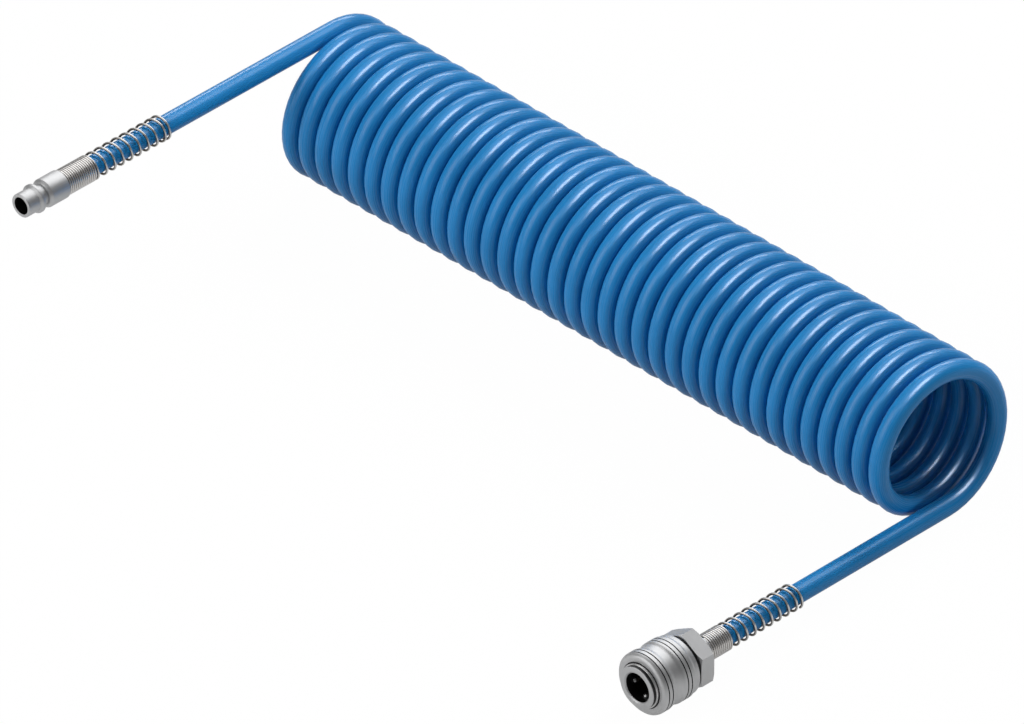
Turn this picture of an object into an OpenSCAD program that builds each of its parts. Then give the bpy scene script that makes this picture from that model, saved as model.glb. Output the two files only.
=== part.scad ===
// Coiled air hose: a polyurethane recoil hose with a plug at its upper end and a
// quick coupler with a sprung locking sleeve at its lower end.
// It stands on the coil and on one corner of the coupler's hexagon. All in mm.

/* [Hose] */

// Outside diameter of the hose
hose_d = 8; // [6:0.5:12]
// Inside diameter of the hose
hose_id = 5; // [3:0.5:9]
// Turns in the coil, so that the tails leave from its top and its bottom
coil_turns = 36.5; // [10.5:1:50.5]
// Spacing of neighbouring turns
coil_pitch = 9; // [8.5:0.1:14]
// Radius of the coil to the middle of the hose
coil_r = 29.4; // [20:0.1:60]
// From the coil to the plug's nose, along the upper tail
plug_reach = 168; // [120:1:300]
// From the coil to the coupler's face, along the lower tail
coupler_reach = 166; // [120:1:300]

/* [Plug] */

// Diameter of the nose that enters the coupler's seal
nose_d = 9.85; // [9.7:0.01:9.9]
// Diameter of the locking collar
collar_d = 11.85; // [11.7:0.01:11.9]
// Diameter of the groove that the balls drop into
groove_d = 8.4; // [7.5:0.1:9.5]
// Diameter of the bore in the nose
nose_bore_d = 7.2; // [6:0.1:8]
// Length of the plug's metal body
plug_body_len = 20.9; // [18:0.1:26]

/* [Coupler] */

// Diameter of the bore that the plug's collar slides in
socket_bore_d = 12.2; // [12.1:0.01:12.3]
// Diameter over the locking sleeve's ridges
sleeve_d = 25.9; // [24:0.1:30]
// Diameter of the sleeve's waist between the ridges
waist_d = 24.8; // [22:0.1:29]
// How far the locking sleeve slides back
sleeve_travel = 2; // [1.5:0.1:2]
// How far the valve opens
valve_travel = 3.5; // [3:0.1:4.5]
// Size of the hexagon across its flats
hex_flats = 21.6; // [19:0.1:24]
// Diameter of the locking balls
ball_d = 3; // [2.5:0.1:3]
// Number of locking balls
ball_count = 5; // [5]

/* [Kink springs] */

// Wire diameter of the two outer springs
wire_d = 1; // [0.8:0.1:1.4]
// Outside diameter of the outer springs
kink_d = 11; // [10.6:0.1:13]
// Spacing of the touching turns
closed_pitch = 1.01; // [1:0.01:1.1]
// Spacing of the plug spring's open turns
plug_open_pitch = 4.5; // [3:0.1:6]
// Spacing of the coupler spring's open turns
coupler_open_pitch = 4.45; // [3:0.05:6]

/* [Hidden] */

$fn = 96;

hose_blue = [0.05, 0.27, 0.62];
fitting_grey = [0.66, 0.67, 0.68];
spring_steel = [0.78, 0.79, 0.80];
seal_black = [0.06, 0.06, 0.07];
valve_brass = [0.75, 0.62, 0.35];

// Hose and coil
hose_r = hose_d / 2;
coil_len = coil_turns * coil_pitch;
coil_rings = 12;
coil_sides = 6;
tail_sides = 12;
tail_step = 2.4 * hose_d;

// Plug: places are measured back from its nose
nose_r = nose_d / 2;
collar_r = collar_d / 2;
groove_r = groove_d / 2;
nose_len = 5.7;
collar_from = 6.6;
collar_to = 7.6;
collar_edge = 0.2;
groove_to = 10.7;
plug_shoulder_r = 5;
plug_body_from = 12;
plug_body_r = 5.9;
plug_bore_len = 17;
edge = 0.3;

// Barbed stems and the hose ends pushed over them
stub_r = 4.5;
stub_len = 2.1;
stem_r = 2.5;
stem_bore_r = 1.8;
barb_r = 2.9;
barb_len = 3;
barb_land = 0.6;
barb_count = 3;
swell_r = 4.4;
hose_past_stem = 3;
plug_hose_from = plug_body_len + stub_len;
plug_hose_to = plug_hose_from + barb_count * barb_len + hose_past_stem;

// Coupler: places are measured back from its face
socket_bore_r = socket_bore_d / 2;
bore_len = 10.4;
bore_chamfer = 0.5;
relief_r = 6.27;
relief_from = 3.3;
seal_bore_r = 5.05;
flange_r = 8.8;
flange_len = 1.5;
ring_seat_r = 8.2;
ring_to = 2.95;
ring_r = 9.35;
ring_gap_deg = 8;
ring_rib_r = 8.4;
ring_rib_to = 3.4;
ball_wall_r = 7.6;
guide_r = 8.05;
guide_from = 7.2;
spring_wall_r = 8.2;
spring_wall_from = 11;
shoulder_r = 10.5;
shoulder_from = 19.6;
seal_groove_r = 6.9;
seal_groove_from = 11.5;
seal_groove_to = 13.9;
valve_seat_t = 15.6;
cavity_r = 6.6;
spigot_seat_t = 20;
spigot_r = 8.5;
connector_seal_d = 1;
hex_from = 23.6;
hex_to = 30.5;
hex_r = hex_flats / sqrt(3);
hex_chamfer = 0.65;
hex_end_r = 11.3;
valve_room_to = 25;
spring_room_r = 5;
spring_seat_t = 27;
rear_collar_r = 5.9;
rear_collar_to = 34.9;
coupler_hose_from = rear_collar_to + stub_len;
coupler_hose_to = coupler_hose_from + barb_count * barb_len + hose_past_stem;

// Locking balls, held in by the sleeve's land and let out into its recess
ball_r = ball_d / 2;
ball_t = 5.5;
ball_lock_r = 6.55;
ball_hole_r = ball_r + 0.05;
ball_hole_taper = 8;

// Locking sleeve
sleeve_r = sleeve_d / 2;
waist_r = waist_d / 2;
lip_t = 2.5;
lip_r = 9.5;
lip_round = 1.8;
sleeve_stop_t = 3;
recess_r = 9.2;
recess_to = 4;
land_r = 8.1;
land_from = 5.9;
land_to = 8.5;
chamber_r = 10.6;
sleeve_end = hex_from - sleeve_travel - 0.1;
ridge_1_to = 7.9;
waist_from = 9.3;
waist_to = 12.5;
ridge_2_from = 13.9;
ridge_2_to = 19;
band_from = 19.9;
ridge_grooves = [4.9, 6.8, 15.4, 17.5];
v_half = 0.25;
v_deep = 0.25;

// Valve
valve_tip_t = 11;
valve_tube_r = 4.6;
valve_tube_bore_r = 3.4;
valve_seal_from = valve_seat_t + 0.02;
valve_seal_r = 6;
valve_head_r = 6.2;
valve_head_from = 16.3;
valve_head_to = 17.8;
fin_in_r = 4.3;
fin_out_r = 6.52;
fin_to = 20.5;
fin_w = 1.6;
fin_count = 4;
window_w = 3;
window_from = 13;
window_to = 15.5;
valve_stub_r = 2.8;
valve_stub_to = 19.8;

// Springs: helices of round wire, right-handed like the fittings' threads
curl_rings = 8;
curl_sides = 6;
seat_turn = 0.25;
sleeve_spring_r = 9.7;
sleeve_wire_d = 1.3;
sleeve_spring_turns = 4.5;
valve_spring_r = 3.6;
valve_wire_d = 0.9;
valve_spring_turns = 4;
wire_r = wire_d / 2;
kink_r = kink_d / 2 - wire_r;
rib_valley = 0.4;
plug_ribs = 15;
plug_rib_t = plug_body_len + closed_pitch / 2;
plug_open_turns = 7.87;
plug_end_turns = 1.45;
plug_end_pitch = 2.3;
plug_kink_deg = 1;
coupler_ribs = 11;
coupler_rib_t = rear_collar_to + closed_pitch / 2;
coupler_open_turns = 7.61;
coupler_end_turns = 1.25;
coupler_end_pitch = 2.78;
coupler_kink_deg = 95;
end_ease = 0.4;

// The whole object is rolled about the coil's centre line until the coil and the
// hexagon's lowest corner stand on one floor, and centred on its fittings.
stand_y = coupler_reach - hex_to + hex_chamfer;
stand_r = coil_r + hex_r;
floor_r = coil_r + hose_r;
rest_roll = atan2(stand_r, stand_y) - asin(floor_r / norm([stand_r, stand_y]));
mid_x = (coil_len + sleeve_r - collar_r) / 2;
front_y = coupler_reach * cos(rest_roll) + (coil_r + flange_r - edge) * sin(rest_roll);
kink_end_y = 83.2;
mid_y = (front_y + kink_end_y) / 2;

// ---------- placement ----------

// From the coil's own frame, with its axis along X, to the standing position
module stand() {
    translate([-mid_x, mid_y, floor_r])
        rotate([-rest_roll, 0, 0])
            children();
}

// A fitting's own +Z runs from its open face back towards the coil
module at_plug() {
    stand()
        translate([0, -plug_reach, coil_r])
            rotate([-90, 0, 0])
                children();
}

module at_coupler() {
    stand()
        translate([coil_len, -coupler_reach, -coil_r])
            rotate([-90, 0, 0])
                children();
}

// ---------- swept tubes ----------

function unit(v) = v / norm(v);
function reversed(list) = [for (i = [len(list) - 1:-1:0]) list[i]];

// A station of a sweep is [point, unit vector to the first side, direction]
function station_ring(station, r, sides) =
    let (across = cross(station[2], station[1]))
    [for (i = [0:sides - 1])
        let (a = 360 * i / sides)
        station[0] + r * (cos(a) * station[1] + sin(a) * across)];

module sweep(stations, r, sides) {
    last = (len(stations) - 1) * sides;
    points = [for (s = stations) each station_ring(s, r, sides)];
    walls = [for (k = [0:sides:last - sides], i = [0:sides - 1])
        let (a = k + i, b = k + (i + 1) % sides)
        each [[a, a + sides, b + sides], [a, b + sides, b]]];
    caps = [for (i = [1:sides - 2])
        each [[0, i, i + 1], [last, last + i + 1, last + i]]];
    polyhedron(points, concat(walls, caps));
}

// Least distance between stations about one turn apart, less the tube itself
function least_gap(stations, rings, r) =
    min([for (i = [0:len(stations) - rings - 2], j = [rings - 1:rings + 1])
        norm(stations[i][0] - stations[i + j][0]) - 2 * r]);

// ---------- hose ----------

// Over its first and last half turn the helix leans over to run square to its axis
function lean(s) = s + s * s - s * s * s;
function coil_x(turn) =
    turn < 0.5 ? coil_pitch / 2 * (1 - lean(1 - 2 * turn))
    : turn > coil_turns - 0.5
        ? coil_len - coil_pitch / 2 * (1 - lean(2 * (turn - coil_turns) + 1))
    : coil_pitch * turn;
function coil_point(turn) =
    [coil_x(turn), coil_r * sin(360 * turn), coil_r * cos(360 * turn)];
function coil_station(turn) =
    let (step = 0.001, from = max(turn - step, 0), to = min(turn + step, coil_turns))
    [coil_point(turn), [0, sin(360 * turn), cos(360 * turn)],
     unit(coil_point(to) - coil_point(from))];

coil_stations = concat(
    [[[0, -hose_d, coil_r], [0, 0, 1], [0, 1, 0]]],
    [for (k = [0:round(coil_turns * coil_rings)]) coil_station(k / coil_rings)],
    [[[coil_len, -hose_d, -coil_r], [0, 0, -1], [0, -1, 0]]]
);
echo(hose_coil_least_gap_mm = least_gap(coil_stations, coil_rings, hose_r));

module hose_coil() {
    color(hose_blue)
        stand()
            sweep(coil_stations, hose_r, coil_sides);
}

// A straight tail in its fitting's frame, from the hose end to the coil
module tail(from, to) {
    rings = ceil((to - from) / tail_step);
    color(hose_blue)
        sweep([for (k = [0:rings])
            [[0, 0, from + (to - from) * k / rings], [0, -1, 0], [0, 0, 1]]],
            hose_r, tail_sides);
}

module plug_tail() {
    at_plug()
        tail(plug_hose_to, plug_reach - hose_d);
}

module coupler_tail() {
    at_coupler()
        tail(coupler_hose_to, coupler_reach - hose_d);
}

// A stem's saw teeth as [radius, place], starting where the stub ends
function barbs(from) =
    [for (i = [0:barb_count - 1])
        let (at = from + i * barb_len)
        each [[stem_r, at], [stem_r, at + barb_land], [barb_r, at + barb_land],
              [stem_r, at + barb_len]]];
function stem_end(from) = from + barb_count * barb_len;

// The end of the hose, swollen over the barbs, with its true bore beyond them
module hose_end(from, to) {
    color(hose_blue)
        rotate_extrude()
            polygon(concat(
                barbs(from),
                [[hose_id / 2, to], [hose_r, to], [hose_r, stem_end(from)],
                 [swell_r, stem_end(from) - barb_len + barb_land], [swell_r, from]]));
}

module plug_hose_end() {
    at_plug()
        hose_end(plug_hose_from, plug_hose_to);
}

module coupler_hose_end() {
    at_coupler()
        hose_end(coupler_hose_from, coupler_hose_to);
}

// ---------- plug ----------

module plug_nipple() {
    bore_r = nose_bore_d / 2;
    color(fitting_grey)
        at_plug()
            rotate_extrude()
                polygon(concat(
                    [[bore_r, 0], [bore_r, plug_bore_len], [stem_bore_r, plug_bore_len + 2],
                     [stem_bore_r, stem_end(plug_hose_from)]],
                    reversed(barbs(plug_hose_from)),
                    [[stub_r, plug_hose_from], [stub_r, plug_body_len],
                     [plug_body_r - edge, plug_body_len], [plug_body_r, plug_body_len - edge],
                     [plug_body_r, plug_body_from], [plug_shoulder_r, groove_to],
                     [groove_r, groove_to], [groove_r, collar_to + collar_edge],
                     [collar_r - collar_edge, collar_to + collar_edge], [collar_r, collar_to],
                     [collar_r, collar_from], [nose_r, nose_len], [nose_r, edge],
                     [nose_r - edge, 0]]));
}

// ---------- outer springs ----------

// The touching turns: one sleeve of ribs round the stub and the hose
module spring_grip(ribs, first_t) {
    color(spring_steel)
        rotate_extrude()
            polygon(concat(
                [[kink_r - wire_r, first_t + (ribs - 0.5) * closed_pitch],
                 [kink_r - wire_r, first_t - 0.5 * closed_pitch]],
                [for (i = [0:ribs - 1])
                    let (t = first_t + i * closed_pitch)
                    each [[kink_r + wire_r - rib_valley, t - 0.5 * closed_pitch],
                          [kink_r + wire_r, t]]],
                [[kink_r + wire_r - rib_valley, first_t + (ribs - 0.5) * closed_pitch]]));
}

function grip_end(ribs, first_t) = first_t + (ribs - 0.5) * closed_pitch;

// Stations of a wire helix, where place(turn) is the height after that many turns
function helix_station(r, start_deg, place, turn) =
    let (a = start_deg + 360 * turn, step = 0.001)
    [[r * cos(a), r * sin(a), place(turn)], [cos(a), sin(a), 0],
     unit([-sin(a) * 2 * PI * r, cos(a) * 2 * PI * r,
           (place(turn + step) - place(turn - step)) / (2 * step)])];
function helix_stations(r, wire, turns, start_deg, place) =
    let (curve = [for (k = [0:ceil(turns * curl_rings)])
            helix_station(r, start_deg, place, turns * k / ceil(turns * curl_rings))],
        first = curve[0], end = curve[len(curve) - 1])
    concat([[first[0] - wire * first[2], first[1], first[2]]], curve,
        [[end[0] + wire * end[2], end[1], end[2]]]);

// Open turns at one pitch, easing to a closer pitch over the last turns
function kink_place(from, pitch, open_turns, end_pitch) = function (turn)
    let (over = max(turn - open_turns, 0), left = max(1 - over / end_ease, 0))
    from + pitch * min(turn, open_turns) + end_pitch * over
        + (pitch - end_pitch) * end_ease / 3 * (1 - left ^ 3);

plug_kink_stations = helix_stations(kink_r, wire_d, plug_open_turns + plug_end_turns,
    plug_kink_deg, kink_place(grip_end(plug_ribs, plug_rib_t) + wire_r * cos(30),
        plug_open_pitch, plug_open_turns, plug_end_pitch));
coupler_kink_stations = helix_stations(kink_r, wire_d,
    coupler_open_turns + coupler_end_turns,
    coupler_kink_deg, kink_place(grip_end(coupler_ribs, coupler_rib_t) + wire_r * cos(30),
        coupler_open_pitch, coupler_open_turns, coupler_end_pitch));
echo(plug_kink_spring_least_gap_mm = least_gap(plug_kink_stations, curl_rings, wire_r));
echo(coupler_kink_spring_least_gap_mm =
    least_gap(coupler_kink_stations, curl_rings, wire_r));

module plug_spring_grip() {
    at_plug()
        spring_grip(plug_ribs, plug_rib_t);
}

module plug_kink_spring() {
    color(spring_steel)
        at_plug()
            sweep(plug_kink_stations, wire_r, curl_sides);
}

module coupler_spring_grip() {
    at_coupler()
        spring_grip(coupler_ribs, coupler_rib_t);
}

module coupler_kink_spring() {
    color(spring_steel)
        at_coupler()
            sweep(coupler_kink_stations, wire_r, curl_sides);
}

// ---------- coupler ----------

module hexagon() {
    intersection() {
        translate([0, 0, hex_from])
            rotate([0, 0, 30])
                cylinder(r = hex_r, h = hex_to - hex_from, $fn = 6);
        rotate_extrude()
            polygon([[0, hex_from], [hex_end_r, hex_from], [hex_r, hex_from + hex_chamfer],
                     [hex_r, hex_to - hex_chamfer], [hex_end_r, hex_to], [0, hex_to]]);
    }
}

module coupler_connector() {
    from = spigot_seat_t + connector_seal_d;
    stem_to = stem_end(coupler_hose_from);
    color(fitting_grey)
        at_coupler()
            difference() {
                union() {
                    hexagon();
                    rotate_extrude()
                        polygon(concat(
                            [[0, stem_to]],
                            reversed(barbs(coupler_hose_from)),
                            [[stub_r, coupler_hose_from], [stub_r, rear_collar_to],
                             [rear_collar_r - edge, rear_collar_to],
                             [rear_collar_r, rear_collar_to - edge],
                             [rear_collar_r, hex_to - 1], [spigot_r, hex_to - 1],
                             [spigot_r, from], [0, from]]));
                }
                rotate_extrude()
                    polygon([[0, from - 1], [cavity_r, from - 1], [cavity_r, valve_room_to],
                             [spring_room_r, valve_room_to], [spring_room_r, spring_seat_t],
                             [stem_bore_r, spring_seat_t], [stem_bore_r, stem_to + 1],
                             [0, stem_to + 1]]);
            }
}

// A round sealing ring's section, as eight flats, with its middle at [r, t]
function seal_section(cord_r, r, t) =
    [for (a = [22.5:45:337.5]) [r + cord_r * cos(a), t + cord_r * sin(a)]];

module connector_seal() {
    cord_r = connector_seal_d / 2;
    color(seal_black)
        at_coupler()
            rotate_extrude()
                polygon(seal_section(cord_r, spigot_r - cord_r, spigot_seat_t + cord_r));
}

module socket_body() {
    color(fitting_grey)
        at_coupler()
            difference() {
                rotate_extrude()
                    polygon([
                        [socket_bore_r + bore_chamfer, 0], [flange_r - edge, 0],
                        [flange_r, edge], [flange_r, flange_len], [ring_seat_r, flange_len],
                        [ring_seat_r, ring_to], [ring_rib_r, ring_to],
                        [ring_rib_r, ring_rib_to], [ball_wall_r, ring_rib_to],
                        [ball_wall_r, guide_from], [guide_r, guide_from],
                        [guide_r, spring_wall_from], [spring_wall_r, spring_wall_from],
                        [spring_wall_r, shoulder_from], [shoulder_r, shoulder_from],
                        [shoulder_r, hex_from], [spigot_r, hex_from],
                        [spigot_r, spigot_seat_t], [cavity_r, spigot_seat_t],
                        [cavity_r, valve_seat_t], [seal_bore_r, valve_seat_t],
                        [seal_bore_r, seal_groove_to], [seal_groove_r, seal_groove_to],
                        [seal_groove_r, seal_groove_from], [seal_bore_r, seal_groove_from],
                        [seal_bore_r, bore_len], [relief_r, bore_len],
                        [relief_r, relief_from], [socket_bore_r, relief_from],
                        [socket_bore_r, bore_chamfer]]);
                for (i = [1:ball_count])
                    at_ball(i)
                        ball_hole();
            }
}

// The hole narrows inwards, so that the ball rests in the taper and can't fall through
module ball_hole() {
    from = socket_bore_r - 1;
    widest = ball_lock_r + (ball_hole_r - ball_r / cos(ball_hole_taper)) / tan(ball_hole_taper);
    rotate_extrude()
        polygon([[0, from], [ball_hole_r - (widest - from) * tan(ball_hole_taper), from],
                 [ball_hole_r, widest], [ball_hole_r, guide_r + 1], [0, guide_r + 1]]);
}

// Along a ball's hole, +Z outwards from the coupler's centre line; the first is below
module at_ball(i) {
    rotate([0, 0, 90 - 360 / ball_count * (i - 1)])
        translate([0, 0, ball_t])
            rotate([0, 90, 0])
                children();
}

module lock_ball(i) {
    color(spring_steel)
        at_coupler()
            at_ball(i)
                translate([0, 0, ball_lock_r])
                    sphere(r = ball_r, $fn = 48);
}

module stop_ring() {
    color(spring_steel)
        at_coupler()
            rotate([0, 0, 90 + ring_gap_deg])
                rotate_extrude(angle = 360 - ring_gap_deg)
                    polygon([[ring_seat_r, flange_len], [ring_r - edge, flange_len],
                             [ring_r, flange_len + edge], [ring_r, ring_to],
                             [ring_seat_r, ring_to]]);
}

module nose_seal() {
    cord_r = (seal_groove_to - seal_groove_from) / 2 - 0.15;
    color(seal_black)
        at_coupler()
            rotate_extrude()
                polygon(seal_section(cord_r, seal_groove_r - cord_r,
                    (seal_groove_from + seal_groove_to) / 2));
}

// The sleeve's outer outline from the front: rounded lip, two grooved ridges, waist, band
function lip_arc() =
    [for (a = [90:-15:0])
        [sleeve_r - lip_round * (1 - cos(a)), lip_t + lip_round * (1 - sin(a))]];
function v_cut(t) =
    [[sleeve_r, t - v_half], [sleeve_r - v_deep, t], [sleeve_r, t + v_half]];

module lock_sleeve() {
    color(fitting_grey)
        at_coupler()
            rotate_extrude()
                polygon(concat(
                    [[lip_r, lip_t]],
                    lip_arc(),
                    v_cut(ridge_grooves[0]),
                    v_cut(ridge_grooves[1]),
                    [[sleeve_r, ridge_1_to], [waist_r, waist_from], [waist_r, waist_to],
                     [sleeve_r, ridge_2_from]],
                    v_cut(ridge_grooves[2]),
                    v_cut(ridge_grooves[3]),
                    [[sleeve_r, ridge_2_to], [waist_r, band_from],
                     [waist_r, sleeve_end - edge], [waist_r - edge, sleeve_end],
                     [chamber_r, sleeve_end], [chamber_r, land_to], [land_r, land_to],
                     [land_r, land_from], [recess_r, recess_to],
                     [recess_r, sleeve_stop_t], [lip_r, sleeve_stop_t]]));
}

// ---------- springs inside the coupler ----------

// A compression spring between two seats, its end quarter turns lying flat on them
function seat_place(from, to, turns) = function (turn)
    from + (to - from) * min(max((turn - seat_turn) / (turns - 2 * seat_turn), 0), 1);
function seat_stations(r, wire, turns, from, to) =
    helix_stations(r, wire, turns, 0,
        seat_place(from + wire / 2 * cos(30), to - wire / 2 * cos(30), turns));

sleeve_spring_stations = seat_stations(sleeve_spring_r, sleeve_wire_d, sleeve_spring_turns,
    land_to, shoulder_from);
valve_spring_stations = seat_stations(valve_spring_r, valve_wire_d, valve_spring_turns,
    valve_head_to, spring_seat_t);
echo(sleeve_spring_least_gap_mm =
    least_gap(sleeve_spring_stations, curl_rings, sleeve_wire_d / 2));
echo(valve_spring_least_gap_mm =
    least_gap(valve_spring_stations, curl_rings, valve_wire_d / 2));

module sleeve_spring() {
    color(spring_steel)
        at_coupler()
            sweep(sleeve_spring_stations, sleeve_wire_d / 2, curl_sides);
}

module valve_spring() {
    color(spring_steel)
        at_coupler()
            sweep(valve_spring_stations, valve_wire_d / 2, curl_sides);
}

// ---------- valve ----------

module valve_poppet() {
    color(valve_brass)
        at_coupler()
            difference() {
                union() {
                    rotate_extrude()
                        polygon([[valve_tube_bore_r, valve_tip_t],
                                 [valve_tube_r, valve_tip_t],
                                 [valve_tube_r, valve_head_from],
                                 [valve_head_r, valve_head_from],
                                 [valve_head_r, valve_head_to],
                                 [valve_stub_r, valve_head_to],
                                 [valve_stub_r, valve_stub_to], [0, valve_stub_to],
                                 [0, valve_head_from], [valve_tube_bore_r, valve_head_from]]);
                    intersection() {
                        rotate_extrude()
                            polygon([[fin_in_r, valve_head_from], [valve_head_r, valve_head_from],
                                     [valve_head_r, valve_head_to], [fin_out_r, valve_head_to],
                                     [fin_out_r, fin_to], [fin_in_r, fin_to]]);
                        for (i = [1:fin_count])
                            rotate([0, 0, 360 / fin_count * i + 45])
                                translate([0, -fin_w / 2, valve_head_from])
                                    cube([fin_out_r + 1, fin_w, fin_to - valve_head_from + 1]);
                    }
                }
                for (i = [1:fin_count])
                    rotate([0, 0, 360 / fin_count * i])
                        translate([valve_tube_bore_r - 1, -window_w / 2, window_from])
                            cube([valve_tube_r, window_w, window_to - window_from]);
            }
}

module valve_seal() {
    color(seal_black)
        at_coupler()
            rotate_extrude()
                polygon([[valve_tube_r, valve_seal_from], [valve_seal_r, valve_seal_from],
                         [valve_seal_r, valve_head_from], [valve_tube_r, valve_head_from]]);
}

hose_coil();
plug_tail();
plug_hose_end();
plug_nipple();
plug_spring_grip();
plug_kink_spring();
coupler_tail();
coupler_hose_end();
coupler_connector();
connector_seal();
coupler_spring_grip();
coupler_kink_spring();
socket_body();
stop_ring();
nose_seal();
lock_sleeve();
sleeve_spring();
lock_ball(1);  // lock_ball_1
lock_ball(2);  // lock_ball_2
lock_ball(3);  // lock_ball_3
lock_ball(4);  // lock_ball_4
lock_ball(5);  // lock_ball_5
valve_poppet();
valve_seal();
valve_spring();
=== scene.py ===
"""Coiled air hose: the looks of the tube, the plug, the quick coupler and their springs."""

import math

import bmesh
import bpy
from mathutils import Matrix, Vector, kdtree
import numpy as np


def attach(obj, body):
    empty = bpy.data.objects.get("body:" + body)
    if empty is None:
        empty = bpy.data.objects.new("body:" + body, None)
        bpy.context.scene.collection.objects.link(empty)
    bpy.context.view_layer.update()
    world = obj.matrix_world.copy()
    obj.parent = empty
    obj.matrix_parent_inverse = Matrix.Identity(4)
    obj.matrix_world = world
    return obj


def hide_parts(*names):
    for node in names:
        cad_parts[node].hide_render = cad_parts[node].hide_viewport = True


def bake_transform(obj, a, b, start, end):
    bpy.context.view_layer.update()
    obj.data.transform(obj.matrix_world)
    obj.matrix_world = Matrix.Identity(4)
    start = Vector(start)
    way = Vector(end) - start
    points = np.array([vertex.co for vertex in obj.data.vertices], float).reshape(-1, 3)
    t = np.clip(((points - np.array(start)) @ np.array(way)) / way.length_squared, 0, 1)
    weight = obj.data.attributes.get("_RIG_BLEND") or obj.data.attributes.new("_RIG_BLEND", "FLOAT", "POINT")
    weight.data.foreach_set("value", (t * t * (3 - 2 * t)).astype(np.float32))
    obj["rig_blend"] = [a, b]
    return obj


MM = 0.001
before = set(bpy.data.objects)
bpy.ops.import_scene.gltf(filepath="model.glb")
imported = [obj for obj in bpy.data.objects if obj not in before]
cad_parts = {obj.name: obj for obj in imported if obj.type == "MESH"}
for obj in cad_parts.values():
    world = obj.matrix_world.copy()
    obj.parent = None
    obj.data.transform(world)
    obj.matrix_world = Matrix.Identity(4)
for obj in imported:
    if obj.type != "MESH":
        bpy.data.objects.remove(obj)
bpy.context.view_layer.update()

# ---------- sizes ----------

# In millimetres, and named as in the part's source. Places along a fitting are measured back from
# its open face. The sleeve's outside, the stop ring and the plug's collar keep closer to the photo
# than the solids do, by less than a millimetre.
HOSE_R = 4.0
SWELL_R = 4.4
COIL_TURNS = 36.5
COIL_PITCH = 9.0
COIL_R = 29.4
COIL_LEN = COIL_TURNS * COIL_PITCH
PLUG_REACH = 168.0
COUPLER_REACH = 166.0

EDGE = 0.3
NOSE_R = 4.925
NOSE_LEN = 5.7
NOSE_BORE_R = 3.6
COLLAR_R = 5.925
COLLAR_FROM = 6.6
COLLAR_TO = 7.8
GROOVE_R = 4.2
GROOVE_TO = 10.7
PLUG_SHOULDER_R = 5.0
PLUG_BODY_FROM = 12.0
PLUG_BODY_R = 5.9
PLUG_BODY_LEN = 20.9
PLUG_BORE_LEN = 17.0
PLUG_BORE_CONE_TO = 19.0

STUB_R = 4.5
STUB_LEN = 2.1
STEM_R = 2.5
STEM_BORE_R = 1.8
BARB_R = 2.9
BARB_LEN = 3.0
BARB_LAND = 0.6
BARB_COUNT = 3

SOCKET_BORE_R = 6.1
BORE_LEN = 10.4
BORE_CHAMFER = 0.5
RELIEF_R = 6.27
RELIEF_FROM = 3.3
SEAL_BORE_R = 5.05
FLANGE_R = 8.8
FLANGE_LEN = 1.5
RING_SEAT_R = 8.2
RING_R = 9.3
RING_TO = 2.95
RING_GAP_DEG = 8
RING_RIB_R = 8.4
RING_RIB_TO = 3.4
BALL_WALL_R = 7.6
GUIDE_R = 8.05
GUIDE_FROM = 7.2
SPRING_WALL_R = 8.2
SPRING_WALL_FROM = 11.0
SHOULDER_R = 10.5
SHOULDER_FROM = 19.6
SEAL_GROOVE_R = 6.9
SEAL_GROOVE_FROM = 11.5
SEAL_GROOVE_TO = 13.9
VALVE_SEAT_T = 15.6
VALVE_HEAD_TO = 17.8
CAVITY_R = 6.6
SPIGOT_SEAT_T = 20.0
SPIGOT_R = 8.5
SPIGOT_FROM = 21.0
HEX_FLATS = 21.6
HEX_R = HEX_FLATS / math.sqrt(3)
HEX_FROM = 23.6
HEX_TO = 30.5
HEX_CHAMFER = 0.65
HEX_END_R = 11.3
VALVE_ROOM_TO = 25.0
SPRING_ROOM_R = 5.0
SPRING_SEAT_T = 27.0
REAR_COLLAR_R = 5.9
REAR_COLLAR_TO = 34.9

BALL_COUNT = 5
BALL_T = 5.5
BALL_HOLE_FROM = 5.5
BALL_HOLE_LIP_R = 1.367
BALL_HOLE_CONE_TO = 6.8
BALL_HOLE_R = 1.55
BALL_HOLE_TO = 9.0

SLEEVE_R = 12.95
WAIST_R = 12.4
LIP_T = 2.5
LIP_R = 9.7
LIP_ROUND = 1.8
SLEEVE_STOP_T = 3.0
RECESS_R = 9.2
RECESS_TO = 4.0
LAND_R = 8.1
LAND_FROM = 5.9
LAND_TO = 8.5
CHAMBER_R = 10.6
RIDGE_1_TO = 7.7
WAIST_FROM = 9.0
WAIST_TO = 12.3
RIDGE_2_FROM = 13.5
RIDGE_2_TO = 18.6
BAND_FROM = 19.6
SLEEVE_END = 21.5
RIDGE_GROOVES = (4.5, 6.5, 14.7, 16.7)
V_HALF = 0.26
V_FLOOR_HALF = 0.12
V_DEEP = 0.35

# The sealing rings' sections: radius, and where the middle is, out from the axis and back
NOSE_RING = (1.05, 5.85, 12.7)
CONNECTOR_RING = (0.5, 8.0, 20.5)

SLEEVE_SPRING_R = 9.7
SLEEVE_WIRE_D = 1.3
SLEEVE_SPRING_TURNS = 4.5
VALVE_SPRING_R = 3.6
VALVE_WIRE_D = 0.9
VALVE_SPRING_TURNS = 4.0
SEAT_TURN = 0.25

WIRE_R = 0.5
KINK_R = 5.0
CLOSED_PITCH = 1.01

PLUG_HOSE_FROM = PLUG_BODY_LEN + STUB_LEN
COUPLER_HOSE_FROM = REAR_COLLAR_TO + STUB_LEN
STEM_LEN = BARB_COUNT * BARB_LEN

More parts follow.
